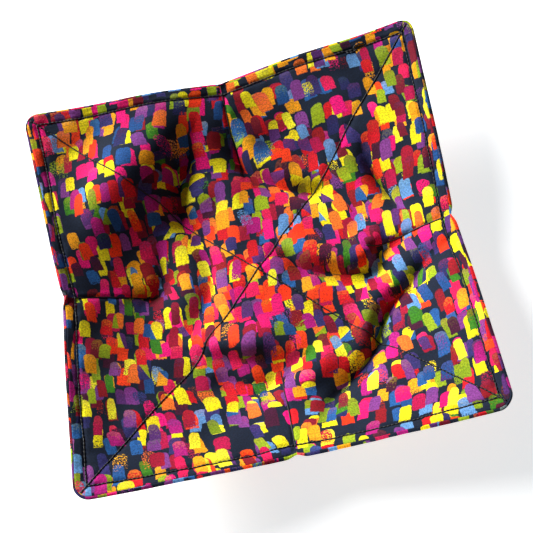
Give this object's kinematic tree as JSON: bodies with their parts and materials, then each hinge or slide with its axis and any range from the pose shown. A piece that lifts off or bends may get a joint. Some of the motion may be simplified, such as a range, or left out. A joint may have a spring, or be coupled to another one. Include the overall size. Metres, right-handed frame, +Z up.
{
  "type": "quilted bowl cozy",
  "caption": "Quilted cotton bowl cozy: a padded square darted into a shallow bowl, whose corners are grips for carrying a hot bowl.",
  "frame": {"origin": "on the surface it rests on, under the middle of the flat base", "axes": "+Z up out of the bowl; +X and +Y across the middles of the right and back sides, where two of the darts are"},
  "size_m": [0.1972, 0.1972, 0.0499],
  "materials": {
    "print_cotton": "plain-woven quilting cotton, printed all over with dabs of colour on navy, matte",
    "batting": "needled natural cotton wadding, fuzzy and matte",
    "thread": "black polyester sewing thread, slight sheen"
  },
  "bodies": {
    "root": {"inner_panel": "print_cotton", "outer_panel": "print_cotton", "inner_batting": "batting", "outer_batting": "batting", "inner_quilting_needle_thread_1": "thread", "inner_quilting_needle_thread_2": "thread", "inner_quilting_bobbin_thread_1": "thread", "inner_quilting_bobbin_thread_2": "thread", "outer_quilting_needle_thread_1": "thread", "outer_quilting_needle_thread_2": "thread", "outer_quilting_bobbin_thread_1": "thread", "outer_quilting_bobbin_thread_2": "thread", "inner_dart_thread_front": "thread", "inner_dart_thread_right": "thread", "inner_dart_thread_back": "thread", "inner_dart_thread_left": "thread", "outer_dart_thread_front": "thread", "outer_dart_thread_right": "thread", "outer_dart_thread_back": "thread", "outer_dart_thread_left": "thread", "rim_seam_thread": "thread", "topstitch_needle_thread": "thread", "topstitch_bobbin_thread": "thread"}
  },
  "joints": []
}
